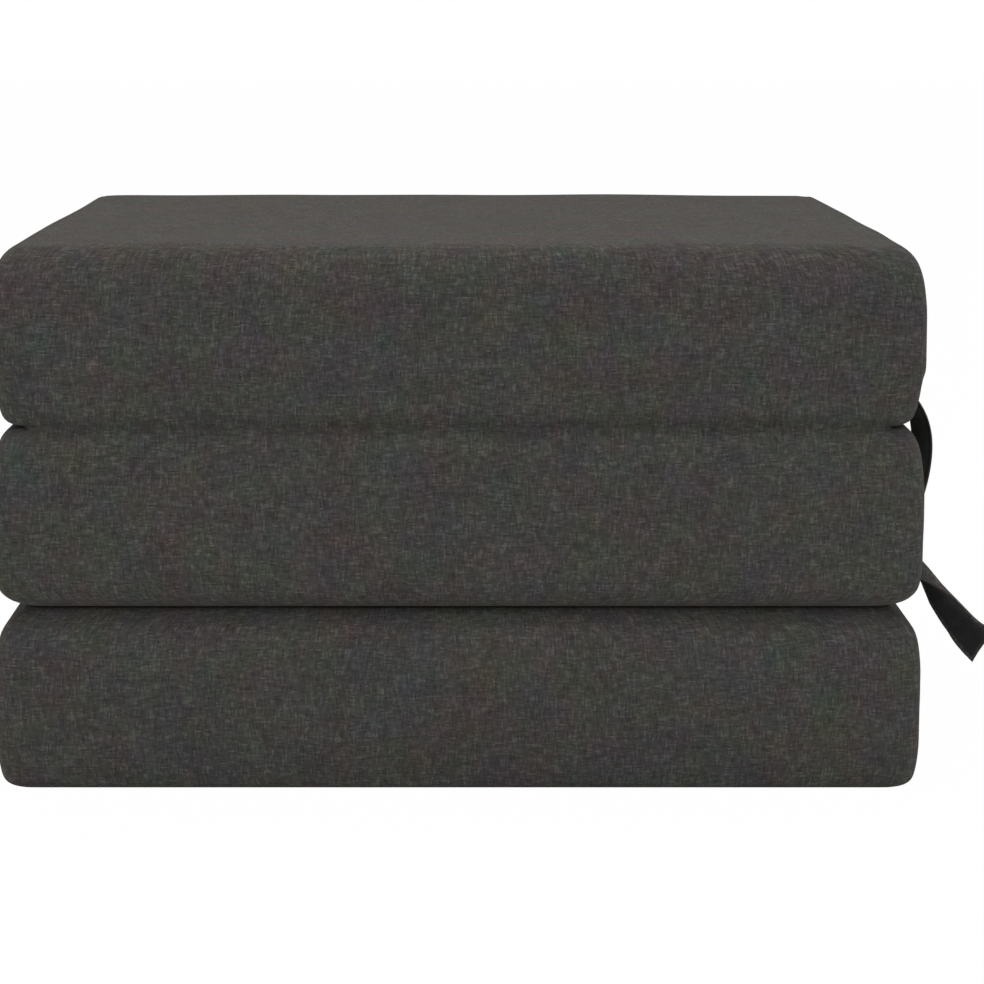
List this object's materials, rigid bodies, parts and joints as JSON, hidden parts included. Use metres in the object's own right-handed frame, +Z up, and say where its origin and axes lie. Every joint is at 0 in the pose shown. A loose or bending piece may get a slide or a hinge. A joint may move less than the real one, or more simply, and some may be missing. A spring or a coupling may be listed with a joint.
{
  "type": "fold out ottoman guest bed",
  "caption": "Upholstered foam guest bed in equal blocks that stack as an ottoman and fold out flat on cloth hinges, with side straps and zipped covers.",
  "frame": {"origin": "on the floor, under the centre of the stack of blocks", "axes": "+Z up, -Y the front, where the top and middle blocks join; +X the side with the two straps"},
  "size_m": [0.89, 0.635, 0.4497],
  "materials": {
    "cover_cloth": "matte",
    "core_foam": "matte",
    "fastening_tape": "matte",
    "zip_tape_cloth": "matte",
    "zip_chain_nylon": "satin",
    "zip_metal": "satin"
  },
  "bodies": {
    "bottom_block": {"bottom_foam_core": "core_foam", "bottom_cover_top_panel": "cover_cloth", "bottom_cover_bottom_panel": "cover_cloth", "bottom_cover_band": "cover_cloth", "bottom_zip_panel_lower": "cover_cloth", "bottom_zip_panel_upper": "cover_cloth", "bottom_zip_tape_lower": "zip_tape_cloth", "bottom_zip_tape_upper": "zip_tape_cloth", "bottom_zip_chain": "zip_chain_nylon", "bottom_zip_stops": "zip_metal", "back_fold_web_lower": "cover_cloth", "lower_strap_root": "cover_cloth"},
    "middle_block": {"middle_foam_core": "core_foam", "middle_cover_top_panel": "cover_cloth", "middle_cover_bottom_panel": "cover_cloth", "middle_cover_band": "cover_cloth", "middle_zip_panel_lower": "cover_cloth", "middle_zip_panel_upper": "cover_cloth", "middle_zip_tape_lower": "zip_tape_cloth", "middle_zip_tape_upper": "zip_tape_cloth", "middle_zip_chain": "zip_chain_nylon", "middle_zip_stops": "zip_metal", "front_fold_web_lower": "cover_cloth", "back_fold_web_upper": "cover_cloth"},
    "top_block": {"top_foam_core": "core_foam", "top_cover_top_panel": "cover_cloth", "top_cover_bottom_panel": "cover_cloth", "top_cover_band": "cover_cloth", "top_zip_panel_lower": "cover_cloth", "top_zip_panel_upper": "cover_cloth", "top_zip_tape_lower": "zip_tape_cloth", "top_zip_tape_upper": "zip_tape_cloth", "top_zip_chain": "zip_chain_nylon", "top_zip_stops": "zip_metal", "front_fold_web_upper": "cover_cloth", "upper_strap_root": "cover_cloth"},
    "upper_strap": {"upper_strap": "cover_cloth", "upper_strap_tape": "fastening_tape"},
    "lower_strap": {"lower_strap": "cover_cloth", "lower_strap_tape": "fastening_tape"},
    "bottom_zip_slider": {"bottom_zip_slider": "zip_metal"},
    "bottom_zip_pull": {"bottom_zip_pull": "zip_metal"},
    "middle_zip_slider": {"middle_zip_slider": "zip_metal"},
    "middle_zip_pull": {"middle_zip_pull": "zip_metal"},
    "top_zip_slider": {"top_zip_slider": "zip_metal"},
    "top_zip_pull": {"top_zip_pull": "zip_metal"}
  },
  "joints": [
    {"name": "back_fold", "type": "hinge", "parent": "bottom_block", "child": "middle_block", "pos_m": [0, 0.3177, 0.14985], "axis": [-1, 0, 0], "range_deg": [0, 180]},
    {"name": "front_fold", "type": "hinge", "parent": "middle_block", "child": "top_block", "pos_m": [0, -0.3177, 0.29985], "axis": [1, 0, 0], "range_deg": [0, 180]},
    {"name": "upper_strap_swing", "type": "hinge", "parent": "top_block", "child": "upper_strap", "pos_m": [0.383, 0, 0.29957], "axis": [0, -1, 0], "range_deg": [0, 80]},
    {"name": "lower_strap_swing", "type": "hinge", "parent": "bottom_block", "child": "lower_strap", "pos_m": [0.383, 0, 0.14644], "axis": [0, -1, 0], "range_deg": [0, 40]},
    {"name": "bottom_zip_slide", "type": "slide", "parent": "bottom_block", "child": "bottom_zip_slider", "axis": [0, -1, 0], "range_m": [0, 0.5004]},
    {"name": "bottom_zip_pull_turn", "type": "hinge", "parent": "bottom_zip_slider", "child": "bottom_zip_pull", "pos_m": [-0.3844, 0.2502, 0.067], "axis": [0, 0, -1], "range_deg": [0, 170]},
    {"name": "middle_zip_slide", "type": "slide", "parent": "middle_block", "child": "middle_zip_slider", "axis": [0, -1, 0], "range_m": [0, 0.5004]},
    {"name": "middle_zip_pull_turn", "type": "hinge", "parent": "middle_zip_slider", "child": "middle_zip_pull", "pos_m": [-0.3844, 0.2502, 0.217], "axis": [0, 0, -1], "range_deg": [0, 170]},
    {"name": "top_zip_slide", "type": "slide", "parent": "top_block", "child": "top_zip_slider", "axis": [0, -1, 0], "range_m": [0, 0.5004]},
    {"name": "top_zip_pull_turn", "type": "hinge", "parent": "top_zip_slider", "child": "top_zip_pull", "pos_m": [-0.3844, 0.2502, 0.367], "axis": [0, 0, -1], "range_deg": [0, 170]}
  ]
}
